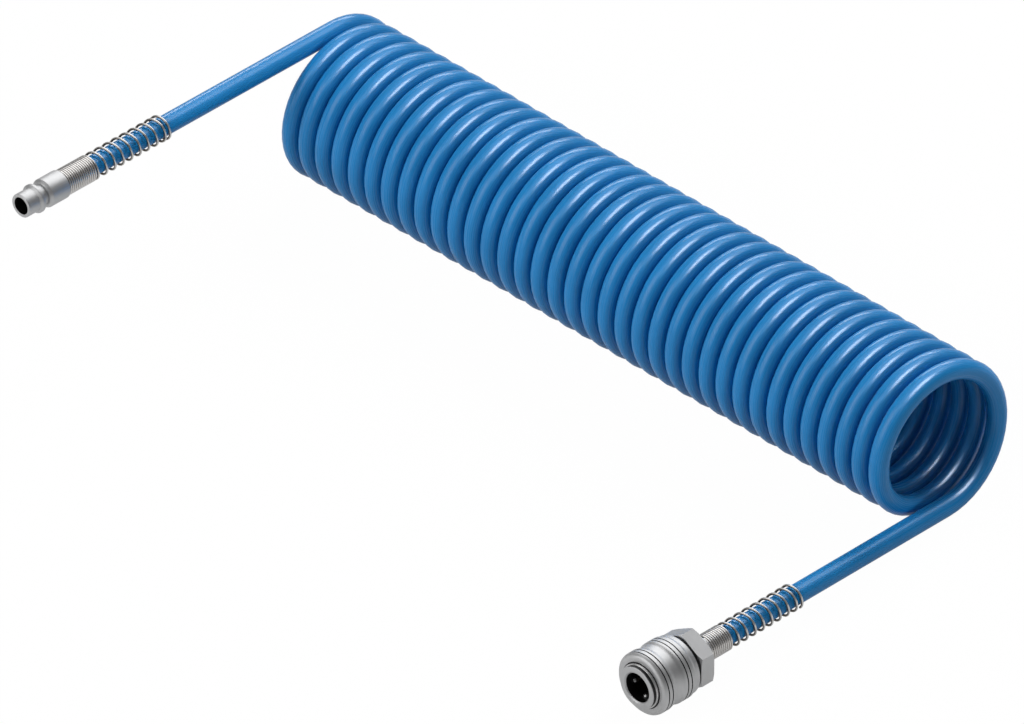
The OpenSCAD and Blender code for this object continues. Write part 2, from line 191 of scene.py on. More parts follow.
# The roll about the coil's centre line that stands it on the coil and the hexagon
STAND_Y = COUPLER_REACH - HEX_TO + HEX_CHAMFER
STAND_R = COIL_R + HEX_R
FLOOR_R = COIL_R + HOSE_R
REST_ROLL = math.atan2(STAND_R, STAND_Y) - math.asin(FLOOR_R / math.hypot(STAND_R, STAND_Y))
MID_X = (COIL_LEN + SLEEVE_R - COLLAR_R) / 2
FRONT_Y = COUPLER_REACH * math.cos(REST_ROLL) + (COIL_R + FLANGE_R - EDGE) * math.sin(REST_ROLL)
KINK_END_Y = 83.2
MID_Y = (FRONT_Y + KINK_END_Y) / 2

STAND = (
    Matrix.Scale(MM, 4)
    @ Matrix.Translation((-MID_X, MID_Y, FLOOR_R))
    @ Matrix.Rotation(-REST_ROLL, 4, "X")
)
# A fitting's own +Z runs from its open face back towards the coil
BACKWARDS = Matrix.Rotation(math.radians(-90), 4, "X")
AT_PLUG = STAND @ Matrix.Translation((0, -PLUG_REACH, COIL_R)) @ BACKWARDS
AT_COUPLER = STAND @ Matrix.Translation((COIL_LEN, -COUPLER_REACH, -COIL_R)) @ BACKWARDS
FITTING_AXIS = (AT_PLUG.to_3x3() @ Vector((0, 0, 1))).normalized()


# ---------- camera ----------

CAMERA_AZIMUTH = 44.74
CAMERA_ELEVATION = 35.20
CAMERA_ROLL = 0.284
CAMERA_DISTANCE = 9500.0
CAMERA_LENS = 866.0
# Where the line of sight passes the coil's far end, across and up the picture
SIGHT_ACROSS = 68.64
SIGHT_UP = -103.6


def camera_turn():
    """The camera's right, up and backward directions in the coil's frame."""
    azimuth, elevation, roll = map(
        math.radians, (CAMERA_AZIMUTH, CAMERA_ELEVATION, CAMERA_ROLL)
    )
    back = Vector((
        math.sin(azimuth) * math.cos(elevation),
        -math.cos(azimuth) * math.cos(elevation),
        math.sin(elevation),
    ))
    level = Vector((math.cos(azimuth), math.sin(azimuth), 0))
    rise = back.cross(level)
    right = level * math.cos(roll) + rise * math.sin(roll)
    up = rise * math.cos(roll) - level * math.sin(roll)
    return right, up, back


def make_camera():
    """The photo's camera, in metres, which rolls with the object where it stands."""
    right, up, back = camera_turn()
    place = right * SIGHT_ACROSS + up * SIGHT_UP + back * CAMERA_DISTANCE
    turn = Matrix((right, up, back)).transposed().to_4x4()
    world = STAND @ Matrix.Translation(place) @ turn
    data = bpy.data.cameras.new("camera")
    data.sensor_width = 36.0
    data.lens = CAMERA_LENS
    data.clip_start = 1.0
    data.clip_end = 60.0
    camera = bpy.data.objects.new("camera", data)
    bpy.context.scene.collection.objects.link(camera)
    camera.matrix_world = Matrix.LocRotScale(
        world.to_translation(), world.to_quaternion(), Vector((1, 1, 1))
    )
    bpy.context.scene.camera = camera


make_camera()


# ---------- making pieces ----------


def mesh_object(bm, name):
    """An object in the scene from a bmesh, which is freed."""
    mesh = bpy.data.meshes.new(name)
    bm.to_mesh(mesh)
    bm.free()
    piece = bpy.data.objects.new(name, mesh)
    bpy.context.scene.collection.objects.link(piece)
    return piece


def mesh_as_shown(piece):
    """A new mesh with what a piece's curve or modifiers make of it."""
    graph = bpy.context.evaluated_depsgraph_get()
    return bpy.data.meshes.new_from_object(piece.evaluated_get(graph))


def finished_piece(bm, name, place, sharp_angle=32):
    """A mesh object at the origin from a bmesh in a fitting's millimetres."""
    bmesh.ops.transform(bm, matrix=place, verts=bm.verts)
    bmesh.ops.recalc_face_normals(bm, faces=bm.faces)
    for face in bm.faces:
        face.smooth = True
    limit = math.radians(sharp_angle)
    for edge in bm.edges:
        edge.smooth = not (edge.is_manifold and edge.calc_face_angle(0) > limit)
    return mesh_object(bm, name)


def outline_wire(bm, outline):
    """The edges of a closed outline of (radius, place) or (radius, place, rounding) points."""
    corners = [bm.verts.new((point[0], 0, point[1])) for point in outline]
    bm.faces.new(corners)
    for rounding in sorted({point[2] for point in outline if len(point) > 2}):
        chosen = [
            v for v, point in zip(corners, outline) if len(point) > 2 and point[2] == rounding
        ]
        bmesh.ops.bevel(
            bm,
            geom=chosen,
            offset=rounding,
            offset_type="OFFSET",
            segments=3,
            profile=0.5,
            affect="VERTICES",
            material=-1,
            clamp_overlap=True,
        )
    bmesh.ops.delete(bm, geom=list(bm.faces), context="FACES_ONLY")
    return list(bm.verts) + list(bm.edges)


def turned(outline, steps=128, degrees=360):
    """A bmesh of the outline turned round a fitting's axis, with flat ends on a part turn."""
    bm = bmesh.new()
    wire = outline_wire(bm, outline)
    whole = degrees == 360
    spun = bmesh.ops.spin(
        bm,
        geom=wire,
        cent=(0, 0, 0),
        axis=(0, 0, 1),
        dvec=(0, 0, 0),
        angle=math.radians(degrees),
        steps=steps,
        use_merge=whole,
        use_normal_flip=False,
        use_duplicate=False,
    )
    if not whole:
        first = [e for e in wire if isinstance(e, bmesh.types.BMEdge) and e.is_valid]
        last = [e for e in spun["geom_last"] if isinstance(e, bmesh.types.BMEdge)]
        bmesh.ops.contextual_create(bm, geom=first)
        bmesh.ops.contextual_create(bm, geom=last)
    bmesh.ops.remove_doubles(bm, verts=bm.verts, dist=1e-4)
    return bm


def tube(name, points, radii, place, sides_level):
    """A closed round tube along points in millimetres, smoother round at a higher sides level."""
    curve = bpy.data.curves.new(name, "CURVE")
    curve.dimensions = "3D"
    curve.bevel_depth = 1.0
    curve.bevel_resolution = sides_level
    curve.use_fill_caps = True
    curve.twist_mode = "MINIMUM"
    spline = curve.splines.new("POLY")
    spline.points.add(len(points) - 1)
    for knot, point, radius in zip(spline.points, points, radii):
        knot.co = (*point, 1.0)
        knot.radius = radius
    drawn = bpy.data.objects.new(name + "_line", curve)
    bpy.context.scene.collection.objects.link(drawn)
    mesh = mesh_as_shown(drawn)
    bpy.data.objects.remove(drawn)
    bpy.data.curves.remove(curve)
    bm = bmesh.new()
    bm.from_mesh(mesh)
    bpy.data.meshes.remove(mesh)
    bmesh.ops.remove_doubles(bm, verts=bm.verts, dist=1e-4)
    return finished_piece(bm, name, place, 60)


# ---------- materials ----------


def new_finish(name):
    """A material, its node tree and its shader."""
    finish = bpy.data.materials.new(name)
    finish.use_nodes = True
    tree = finish.node_tree
    shader = tree.nodes["Principled BSDF"]
    return finish, tree, shader


def put(tree, kind, inputs=None, **settings):
    """A node with its settings and its unlinked inputs."""
    node = tree.nodes.new(kind)
    for key, value in settings.items():
        setattr(node, key, value)
    for key, value in (inputs or {}).items():
        node.inputs[key].default_value = value
    return node


def ramp(tree, source, stops):
    """A colour ramp over the stops, fed by a number."""
    node = tree.nodes.new("ShaderNodeValToRGB")
    elements = node.color_ramp.elements
    while len(elements) < len(stops):
        elements.new(0.5)
    for element, (place, colour) in zip(elements, stops):
        element.position = place
        element.color = (*colour, 1.0)
    tree.links.new(source, node.inputs["Fac"])
    return node.outputs["Color"]


def spread(tree, source, low, high):
    """A 0 to 1 pattern spread between two numbers."""
    node = put(tree, "ShaderNodeMapRange", {"To Min": low, "To Max": high})
    tree.links.new(source, node.inputs["Value"])
    return node.outputs["Result"]


def grain(tree, place, scale, detail=3.0, roughness=0.55, dimensions="3D"):
    """A noise pattern over a place, with scale in waves a metre."""
    node = put(
        tree,
        "ShaderNodeTexNoise",
        {"Scale": scale, "Detail": detail, "Roughness": roughness},
        noise_dimensions=dimensions,
    )
    tree.links.new(place, node.inputs["W" if dimensions == "1D" else "Vector"])
    return node.outputs["Fac"]


def bump(tree, shader, height, distance, strength, before=None):
    """Raises a pattern by a distance in metres, on top of a bump made before."""
    node = put(tree, "ShaderNodeBump", {"Strength": strength, "Distance": distance})
    tree.links.new(height, node.inputs["Height"])
    if before is not None:
        tree.links.new(before, node.inputs["Normal"])
    tree.links.new(node.outputs["Normal"], shader.inputs["Normal"])
    return node.outputs["Normal"]


def hose_finish():
    """Glossy blue polyurethane, a little cloudy, with faint drawing lines along it."""
    finish, tree, shader = new_finish("polyurethane_blue")
    here = put(tree, "ShaderNodeTexCoord").outputs["Object"]
    along = put(tree, "ShaderNodeUVMap", uv_map="UVMap").outputs["UV"]
    cloud = grain(tree, here, 42.0, 4.0)
    colour = ramp(tree, cloud, [
        (0.30, (0.010, 0.190, 0.475)),
        (0.52, (0.012, 0.207, 0.512)),
        (0.74, (0.014, 0.224, 0.550)),
    ])
    tree.links.new(colour, shader.inputs["Base Color"])
    stretch = put(tree, "ShaderNodeMapping", {"Scale": (40.0, 34.0, 1.0)})
    tree.links.new(along, stretch.inputs["Vector"])
    lines = grain(tree, stretch.outputs["Vector"], 1.0, 2.0)
    tree.links.new(spread(tree, lines, 0.22, 0.33), shader.inputs["Roughness"])
    fine = grain(tree, here, 900.0, 2.0)
    soft = bump(tree, shader, lines, 0.00004, 0.35)
    bump(tree, shader, fine, 0.00001, 0.25, soft)
    shader.inputs["IOR"].default_value = 1.4
    return finish


def metal_finish(name, dark, light, roughness, tint=None, hollow_shade=None):
    """Bare metal with fine rings round the fittings' axis and soft blotches.

    A wire with its points' "outward" radius is also darkened in the hollows between its turns, as
    painted shade, between the two given radii.
    radii of grime.
    """
    finish, tree, shader = new_finish(name)
    here = put(tree, "ShaderNodeTexCoord").outputs["Object"]
    along = put(tree, "ShaderNodeVectorMath", operation="DOT_PRODUCT")
    along.inputs[1].default_value = FITTING_AXIS
    tree.links.new(here, along.inputs[0])
    rings = grain(tree, along.outputs["Value"], 5200.0, 3.0, 0.6, "1D")
    blotch = grain(tree, here, 90.0, 3.0)
    stops = [(0.32, dark), (0.68, light)]
    if tint is not None:
        stops.insert(0, (0.22, tint))
    colour = ramp(tree, blotch, stops)
    if hollow_shade is not None:
        # A wire's hollows between its turns are darkened here as painted shade
        outward = put(tree, "ShaderNodeAttribute", attribute_name="outward").outputs["Fac"]
        out_of_hollow = put(tree, "ShaderNodeMapRange", {"From Min": hollow_shade[0], "From Max": hollow_shade[1]})
        tree.links.new(outward, out_of_hollow.inputs["Value"])
        painted_hollow_shade = ramp(tree, out_of_hollow.outputs["Result"], [
            (0.0, (0.10, 0.085, 0.07)), (0.55, (0.55, 0.53, 0.50)), (1.0, (1.0, 1.0, 1.0)),
        ])
        layer = put(
            tree, "ShaderNodeMix", {"Factor": 1.0}, data_type="RGBA", blend_type="MULTIPLY")
        tree.links.new(colour, layer.inputs["A"])
        tree.links.new(painted_hollow_shade, layer.inputs["B"])
        colour = layer.outputs["Result"]
    tree.links.new(colour, shader.inputs["Base Color"])
    low, high = roughness
    tree.links.new(spread(tree, rings, low, high), shader.inputs["Roughness"])
    bump(tree, shader, rings, 0.000004, 0.5)
    shader.inputs["Metallic"].default_value = 1.0
    return finish


def rubber_finish():
    """Matt black seal rubber with a faint bloom."""
    finish, tree, shader = new_finish("seal_rubber")
    here = put(tree, "ShaderNodeTexCoord").outputs["Object"]
    bloom = grain(tree, here, 700.0, 4.0)
    colour = ramp(tree, bloom, [(0.35, (0.006, 0.006, 0.007)), (0.75, (0.020, 0.020, 0.021))])
    tree.links.new(colour, shader.inputs["Base Color"])
    tree.links.new(spread(tree, bloom, 0.42, 0.62), shader.inputs["Roughness"])
    bump(tree, shader, bloom, 0.00001, 0.3)
    return finish


BLUE = hose_finish()
NICKEL = metal_finish("nickel_satin", (0.595, 0.600, 0.606), (0.645, 0.649, 0.653), (0.42, 0.54))
# Nearly black steel as painted shade, for the bores, the sleeve's grooves and the socket's hidden outside
PAINTED_SHADE_STEEL = metal_finish("bore_painted_shade", (0.035, 0.035, 0.037), (0.065, 0.065, 0.066), (0.35, 0.55))
BRIGHT_STEEL = metal_finish("steel_bright", (0.66, 0.66, 0.66), (0.76, 0.76, 0.76), (0.22, 0.34))
# The balls' steel is darkened as painted shade, so that they glint only dimly inside the bore
SHADED_BALL_STEEL = metal_finish("ball_painted_shade", (0.30, 0.30, 0.30), (0.38, 0.38, 0.38), (0.22, 0.34))
# The spring wire is darkened in the hollows between its turns as painted shade
WIRE_STEEL = metal_finish(
    "spring_wire", (0.78, 0.76, 0.74), (0.88, 0.87, 0.86), (0.24, 0.38), tint=(0.66, 0.63, 0.59),
    hollow_shade=(WIRE_R * 0.1 + KINK_R, WIRE_R * 0.9 + KINK_R),
)
# The poppet's brass is darkened as painted shade, since it sits deep in the bore
BRASS = metal_finish("valve_brass", (0.20, 0.15, 0.07), (0.30, 0.23, 0.11), (0.30, 0.45))
RUBBER = rubber_finish()


def dress(piece, finish, body=None, stands_for=()):
    """Gives a piece its finish, its body and the nodes it stands for."""
    piece.data.materials.clear()
    piece.data.materials.append(finish)
    if body:
        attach(piece, body)
    if stands_for:
        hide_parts(*stands_for)
    return piece


def second_finish(piece, finish, place, chosen):
    """Gives a second finish to the faces chosen by their radius and place in a fitting."""
    piece.data.materials.append(finish)
    inverse = place.inverted()
    for face in piece.data.polygons:
        middle = inverse @ face.center
        if chosen(math.hypot(middle.x, middle.y), middle.z):
            face.material_index = 1


# ---------- hose ----------

TURN_STEPS = 48
HOSE_SIDES_LEVEL = 10
BARB_STOPS = 25
BARB_STOP_STEP = 0.5
TAIL_STOP_STEP = 5


def lean(s):
    """From 0 to 1, setting off at the coil's own climb and arriving level."""
    return s + s * s - s * s * s


def coil_x(turn):
    """How far along the coil a turn is; the first and last half turns lean over to run square."""
    if turn < 0.5:
        return COIL_PITCH / 2 * (1 - lean(1 - 2 * turn))
    if turn > COIL_TURNS - 0.5:
        return COIL_LEN - COIL_PITCH / 2 * (1 - lean(2 * (turn - COIL_TURNS) + 1))
    return COIL_PITCH * turn


def coil_middle(turn):
    """A point on the coil's centre line, in the coil's frame."""
    angle = 2 * math.pi * turn
    return Vector((coil_x(turn), COIL_R * math.sin(angle), COIL_R * math.cos(angle)))


def swelling(past):
    """The hose's radius at a distance past the end that is pushed over the barbs."""
    last_barb = STEM_LEN - BARB_LEN + BARB_LAND
    eased = min(max((past - last_barb) / (STEM_LEN - last_barb), 0), 1)
    return SWELL_R + (HOSE_R - SWELL_R) * eased * eased * (3 - 2 * eased)


def tail_stops(hose_from, reach):
    """Places along a tail, close together over the barbs, as distances from the open face."""
    near = [hose_from + BARB_STOP_STEP * k for k in range(BARB_STOPS)]
    rest = reach - near[-1]
    count = round(rest / TAIL_STOP_STEP)
    return near + [near[-1] + rest * k / count for k in range(1, count)]


def make_hose():
    """One unbroken tube from the coupler's stub through every turn to the plug's stub."""
    coupler_stops = tail_stops(COUPLER_HOSE_FROM, COUPLER_REACH)
    plug_stops = tail_stops(PLUG_HOSE_FROM, PLUG_REACH)
    steps = round(COIL_TURNS * TURN_STEPS)
    middle = [Vector((COIL_LEN, t - COUPLER_REACH, -COIL_R)) for t in coupler_stops]
    middle += [coil_middle(k / TURN_STEPS) for k in range(steps, -1, -1)]
    middle += [Vector((0, t - PLUG_REACH, COIL_R)) for t in reversed(plug_stops)]
    radii = [swelling(t - COUPLER_HOSE_FROM) for t in coupler_stops]
    radii += [HOSE_R] * (steps + 1)
    radii += [swelling(t - PLUG_HOSE_FROM) for t in reversed(plug_stops)]
    hose = tube("hose", middle, radii, STAND, HOSE_SIDES_LEVEL)
    route = [STAND @ point for point in middle]
    run = [0.0]
    for a, b in zip(route, route[1:]):
        run.append(run[-1] + (b - a).length)
    # The turns share the stretch evenly, and each tail keeps to its fitting
    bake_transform(hose, "coupler_side", "coil_side", start=route[0], end=route[-1])
    coil_from, coil_to = run[len(coupler_stops)], run[len(coupler_stops) + steps]
    nearest = kdtree.KDTree(len(route))
    for k, point in enumerate(route):
        nearest.insert(point, k)
    nearest.balance()
    shares = hose.data.attributes["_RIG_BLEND"].data
    for vertex in hose.data.vertices:
        at = run[nearest.find(vertex.co)[1]]
        shares[vertex.index].value = min(max((at - coil_from) / (coil_to - coil_from), 0), 1)
    dress(hose, BLUE, stands_for=(
        "hose_coil", "plug_tail", "plug_hose_end", "coupler_tail", "coupler_hose_end"))
    return hose, route, run[-1]


# ---------- springs ----------

WIRE_STEPS = 28
PLUG_RIB_T = PLUG_BODY_LEN + CLOSED_PITCH / 2
PLUG_RIBS = 15
PLUG_OPEN_PITCH = 4.5
PLUG_OPEN_TURNS = 7.87
PLUG_END_TURNS = 1.45
PLUG_END_PITCH = 2.3
PLUG_KINK_DEG = 1
COUPLER_RIB_T = REAR_COLLAR_TO + CLOSED_PITCH / 2
COUPLER_RIBS = 11
COUPLER_OPEN_PITCH = 4.45
COUPLER_OPEN_TURNS = 7.61
COUPLER_END_TURNS = 1.25
COUPLER_END_PITCH = 2.78
COUPLER_KINK_DEG = 95
END_EASE = 0.4
OPENING_EASE = 0.35


def kink_wire(name, first_t, ribs, pitch, open_turns, end_turns, end_pitch, start_deg, place):
    """One wire: touching turns from the fitting's collar, open turns, and a closer last turn."""
    open_t = first_t + (ribs - 0.5) * CLOSED_PITCH + WIRE_R * math.cos(math.radians(30))
    before = ribs - 0.5
    # The touching turns run on until their climb meets the open turns'
    closed_turns = (
        first_t - open_t + (CLOSED_PITCH - pitch) / 2 * OPENING_EASE + pitch * before
    ) / (pitch - CLOSED_PITCH)

    def height(turn):
        """Where the wire is at a turn, counted from the start of the open turns."""
        since = turn + before
        if since <= closed_turns:
            return first_t + CLOSED_PITCH * since
        into = since - closed_turns
        if into < OPENING_EASE:
            return (
                first_t + CLOSED_PITCH * since
                + (pitch - CLOSED_PITCH) * into * into / OPENING_EASE / 2
            )
        over = max(turn - open_turns, 0)
        left = max(1 - over / END_EASE, 0)
        return (
            open_t + pitch * min(turn, open_turns) + end_pitch * over
            + (pitch - end_pitch) * END_EASE / 3 * (1 - left**3)
        )

    total = before + open_turns + end_turns
    count = math.ceil(total * WIRE_STEPS)
    line = []
    for k in range(count + 1):
        turn = total * k / count - before
        angle = math.radians(start_deg) + 2 * math.pi * turn
        line.append(Vector((KINK_R * math.cos(angle), KINK_R * math.sin(angle), height(turn))))
    wire = tube(name, line, [WIRE_R] * len(line), place, 3)
    # How far out each point stands, for the painted shade in the hollows between turns
    inverse = place.inverted()
    outward = wire.data.attributes.new("outward", "FLOAT", "POINT")
    outward.data.foreach_set(
        "value", [math.hypot(*(inverse @ v.co).xy) for v in wire.data.vertices])
    return wire


def seated_spring(name, radius, wire, turns, from_t, to_t):
    """A compression spring whose last turns close up and lie flat on their seats."""
    count = math.ceil(turns * WIRE_STEPS)
    line = []
    for k in range(count + 1):
        turn = turns * k / count
        climb = min(max((turn - SEAT_TURN) / (turns - 2 * SEAT_TURN), 0), 1)
        angle = 2 * math.pi * turn
        line.append(Vector((
            radius * math.cos(angle),
            radius * math.sin(angle),
            from_t + wire / 2 + (to_t - from_t - wire) * climb,
        )))
    return tube(name, line, [wire / 2] * len(line), AT_COUPLER, 4)


# ---------- plug ----------


def barbs(from_t):
    """A stem's saw teeth, from the stub to the stem's end."""
    teeth = []
    for k in range(BARB_COUNT):
        at = from_t + k * BARB_LEN
        teeth += [
            (STEM_R, at), (STEM_R, at + BARB_LAND), (BARB_R, at + BARB_LAND),
            (STEM_R, at + BARB_LEN),
        ]
    return teeth


def make_plug():
    """The plug: nose, locking collar, groove, body and barbed stem, bored through."""
    stem_to = PLUG_HOSE_FROM + STEM_LEN
    outline = [
        (NOSE_BORE_R, 0, 0.15), (NOSE_BORE_R, PLUG_BORE_LEN),
        (STEM_BORE_R, PLUG_BORE_CONE_TO), (STEM_BORE_R, stem_to),
        *reversed(barbs(PLUG_HOSE_FROM)),
        (STUB_R, PLUG_HOSE_FROM), (STUB_R, PLUG_BODY_LEN),
        (PLUG_BODY_R, PLUG_BODY_LEN, EDGE), (PLUG_BODY_R, PLUG_BODY_FROM, 0.15),
        (PLUG_SHOULDER_R, GROOVE_TO, 0.12), (GROOVE_R, GROOVE_TO), (GROOVE_R, COLLAR_TO),
        (COLLAR_R, COLLAR_TO, 0.2), (COLLAR_R, COLLAR_FROM, 0.12),
        (NOSE_R, NOSE_LEN), (NOSE_R, 0, EDGE),
    ]
    plug = finished_piece(turned(outline), "plug", AT_PLUG)
    dress(plug, NICKEL, "coil_side", ["plug_nipple"])
    # The plug's bore gets the nearly black steel as painted shade
    second_finish(
        plug, PAINTED_SHADE_STEEL, AT_PLUG, lambda radius, t: radius < NOSE_BORE_R + 0.01 and t > 0.2)
    return plug


# ---------- coupler ----------


def make_connector():
    """The hexagon with its spigot, rear collar and barbed stem, faced off in six cuts."""
    stem_to = COUPLER_HOSE_FROM + STEM_LEN
    bm = turned([
        (SPIGOT_R, SPIGOT_FROM), (SPIGOT_R, HEX_FROM), (HEX_END_R, HEX_FROM, 0.1),
        (HEX_R, HEX_FROM + HEX_CHAMFER), (HEX_R, HEX_TO - HEX_CHAMFER),
        (HEX_END_R, HEX_TO, 0.1), (REAR_COLLAR_R, HEX_TO),
        (REAR_COLLAR_R, REAR_COLLAR_TO, EDGE), (STUB_R, REAR_COLLAR_TO),
        (STUB_R, COUPLER_HOSE_FROM), *barbs(COUPLER_HOSE_FROM)[1:],
        (STEM_BORE_R, stem_to), (STEM_BORE_R, SPRING_SEAT_T), (SPRING_ROOM_R, SPRING_SEAT_T),
        (SPRING_ROOM_R, VALVE_ROOM_TO), (CAVITY_R, VALVE_ROOM_TO), (CAVITY_R, SPIGOT_FROM),
    ], 180)
    for side in range(6):
        angle = math.radians(60 * side)
        out = Vector((math.cos(angle), math.sin(angle), 0))
        cut = bmesh.ops.bisect_plane(
            bm,
            geom=list(bm.verts) + list(bm.edges) + list(bm.faces),
            dist=1e-5,
            plane_co=out * HEX_FLATS / 2,
            plane_no=out,
            clear_outer=True,
        )
        rim = [e for e in cut["geom_cut"] if isinstance(e, bmesh.types.BMEdge)]
        bmesh.ops.contextual_create(bm, geom=rim)
    connector = finished_piece(bm, "connector", AT_COUPLER, 12)
    return dress(connector, NICKEL, "coupler_side", ["coupler_connector"])


def drilled(piece, cutter):
    """Cuts the cutter's shape out of a piece and takes the cutter away."""
    cut = piece.modifiers.new("drilled", "BOOLEAN")
    cut.operation = "DIFFERENCE"
    cut.solver = "EXACT"
    cut.object = cutter
    mesh = mesh_as_shown(piece)
    piece.modifiers.clear()
    piece.data = mesh
    bpy.data.objects.remove(cutter)
    return piece


def make_socket():
    """The socket behind the sleeve: mouth, ball holes, seal groove and valve seat."""
    outline = [
        (SOCKET_BORE_R + BORE_CHAMFER, 0, 0.06), (FLANGE_R, 0, 0.25), (FLANGE_R, FLANGE_LEN, 0.1),
        (RING_SEAT_R, FLANGE_LEN), (RING_SEAT_R, RING_TO),
        (RING_RIB_R, RING_TO), (RING_RIB_R, RING_RIB_TO),
        (BALL_WALL_R, RING_RIB_TO), (BALL_WALL_R, GUIDE_FROM),
        (GUIDE_R, GUIDE_FROM), (GUIDE_R, SPRING_WALL_FROM),
        (SPRING_WALL_R, SPRING_WALL_FROM), (SPRING_WALL_R, SHOULDER_FROM),
        (SHOULDER_R, SHOULDER_FROM), (SHOULDER_R, HEX_FROM),
        (SPIGOT_R, HEX_FROM), (SPIGOT_R, SPIGOT_SEAT_T),
        (CAVITY_R, SPIGOT_SEAT_T), (CAVITY_R, VALVE_SEAT_T),
        (SEAL_BORE_R, VALVE_SEAT_T), (SEAL_BORE_R, SEAL_GROOVE_TO),
        (SEAL_GROOVE_R, SEAL_GROOVE_TO), (SEAL_GROOVE_R, SEAL_GROOVE_FROM),
        (SEAL_BORE_R, SEAL_GROOVE_FROM), (SEAL_BORE_R, BORE_LEN, EDGE),
        (RELIEF_R, BORE_LEN), (RELIEF_R, RELIEF_FROM),
        (SOCKET_BORE_R, RELIEF_FROM), (SOCKET_BORE_R, BORE_CHAMFER, 0.06),
    ]
    socket = finished_piece(turned(outline), "socket", AT_COUPLER)
    for k in range(BALL_COUNT):
        along = (
            Matrix.Rotation(math.radians(90 - 360 / BALL_COUNT * k), 4, "Z")
            @ Matrix.Translation((0, 0, BALL_T))
            @ Matrix.Rotation(math.radians(90), 4, "Y")
        )
        hole = turned([
            (0, BALL_HOLE_FROM), (BALL_HOLE_LIP_R, BALL_HOLE_FROM),
            (BALL_HOLE_R, BALL_HOLE_CONE_TO), (BALL_HOLE_R, BALL_HOLE_TO), (0, BALL_HOLE_TO),
        ], 32)
        drilled(socket, finished_piece(hole, "ball_hole", AT_COUPLER @ along))
    dress(socket, NICKEL, "coupler_side", ["socket_body"])
    # Behind the mouth's chamfer, and on the flange's side, the socket gets the nearly black steel as painted
    # shade
    second_finish(
        socket, PAINTED_SHADE_STEEL, AT_COUPLER,
        lambda radius, t: t > BORE_CHAMFER + 0.1 or (t > 0.3 and radius > FLANGE_R - 0.1))
    return socket


def make_sleeve():
    """The locking sleeve: rounded lip, two grooved ridges with a waist between, plain band."""
    def groove(at):
        """A V groove's outline in a ridge, from front to back."""
        return [
            (SLEEVE_R, at - V_HALF), (SLEEVE_R - V_DEEP, at - V_FLOOR_HALF),
            (SLEEVE_R - V_DEEP, at + V_FLOOR_HALF), (SLEEVE_R, at + V_HALF),
        ]

    outline = [
        (LIP_R, LIP_T, 0.12), (SLEEVE_R, LIP_T, LIP_ROUND),
        *groove(RIDGE_GROOVES[0]), *groove(RIDGE_GROOVES[1]),
        (SLEEVE_R, RIDGE_1_TO, EDGE), (WAIST_R, WAIST_FROM, 0.5),
        (WAIST_R, WAIST_TO, 0.5), (SLEEVE_R, RIDGE_2_FROM, EDGE),
        *groove(RIDGE_GROOVES[2]), *groove(RIDGE_GROOVES[3]),
        (SLEEVE_R, RIDGE_2_TO, EDGE), (WAIST_R, BAND_FROM, 0.15),
        (WAIST_R, SLEEVE_END, EDGE), (CHAMBER_R, SLEEVE_END, 0.1),
        (CHAMBER_R, LAND_TO), (LAND_R, LAND_TO), (LAND_R, LAND_FROM),
        (RECESS_R, RECESS_TO), (RECESS_R, SLEEVE_STOP_T), (LIP_R, SLEEVE_STOP_T),
    ]
    sleeve = finished_piece(turned(outline, 160), "sleeve", AT_COUPLER)
    dress(sleeve, NICKEL, "sleeve", ["lock_sleeve"])

    def shaded(radius, t):
        """The bore and the four grooves, which get the nearly black steel as painted shade."""
        in_groove = any(abs(t - at) < V_HALF + 0.01 for at in RIDGE_GROOVES)
        return radius < LIP_R + 0.02 or (in_groove and radius > SLEEVE_R - V_DEEP - 0.15)

    second_finish(sleeve, PAINTED_SHADE_STEEL, AT_COUPLER, shaded)
    return sleeve


def make_stop_ring():
    """The split ring that holds the sleeve on, with its gap on the far side."""
    outline = [
        (RING_SEAT_R, FLANGE_LEN), (RING_R, FLANGE_LEN, 0.25),
        (RING_R, RING_TO, 0.08), (RING_SEAT_R, RING_TO),
    ]
    ring = turned(outline, 120, 360 - RING_GAP_DEG)
    past_gap = Matrix.Rotation(math.radians(90 + RING_GAP_DEG), 3, "Z")
    bmesh.ops.rotate(ring, verts=ring.verts, cent=(0, 0, 0), matrix=past_gap)
    piece = finished_piece(ring, "stop_ring_split", AT_COUPLER)
    return dress(piece, BRIGHT_STEEL, "coupler_side", ["stop_ring"])


def round_seal(name, radius, middle_r, middle_t, body, node):
    """A round sealing ring, turned from a circle of section."""
    section = [
        (middle_r + radius * math.cos(a), middle_t + radius * math.sin(a))
        for a in (2 * math.pi * k / 20 for k in range(20))
    ]
    seal = finished_piece(turned(section, 96), name, AT_COUPLER, 60)
    return dress(seal, RUBBER, body, [node])


hose, route, hose_length = make_hose()
plug = make_plug()
plug_spring = kink_wire(
    "plug_wire", PLUG_RIB_T, PLUG_RIBS, PLUG_OPEN_PITCH, PLUG_OPEN_TURNS, PLUG_END_TURNS,
    PLUG_END_PITCH, PLUG_KINK_DEG, AT_PLUG)
dress(plug_spring, WIRE_STEEL, "coil_side", ["plug_spring_grip", "plug_kink_spring"])
coupler_spring = kink_wire(
    "coupler_wire", COUPLER_RIB_T, COUPLER_RIBS, COUPLER_OPEN_PITCH, COUPLER_OPEN_TURNS,
    COUPLER_END_TURNS, COUPLER_END_PITCH, COUPLER_KINK_DEG, AT_COUPLER)
dress(coupler_spring, WIRE_STEEL, "coupler_side",
      ["coupler_spring_grip", "coupler_kink_spring"])
make_connector()
make_socket()
make_sleeve()
make_stop_ring()
round_seal("nose_ring", *NOSE_RING, "coupler_side", "nose_seal")
round_seal("connector_ring", *CONNECTOR_RING, "coupler_side", "connector_seal")

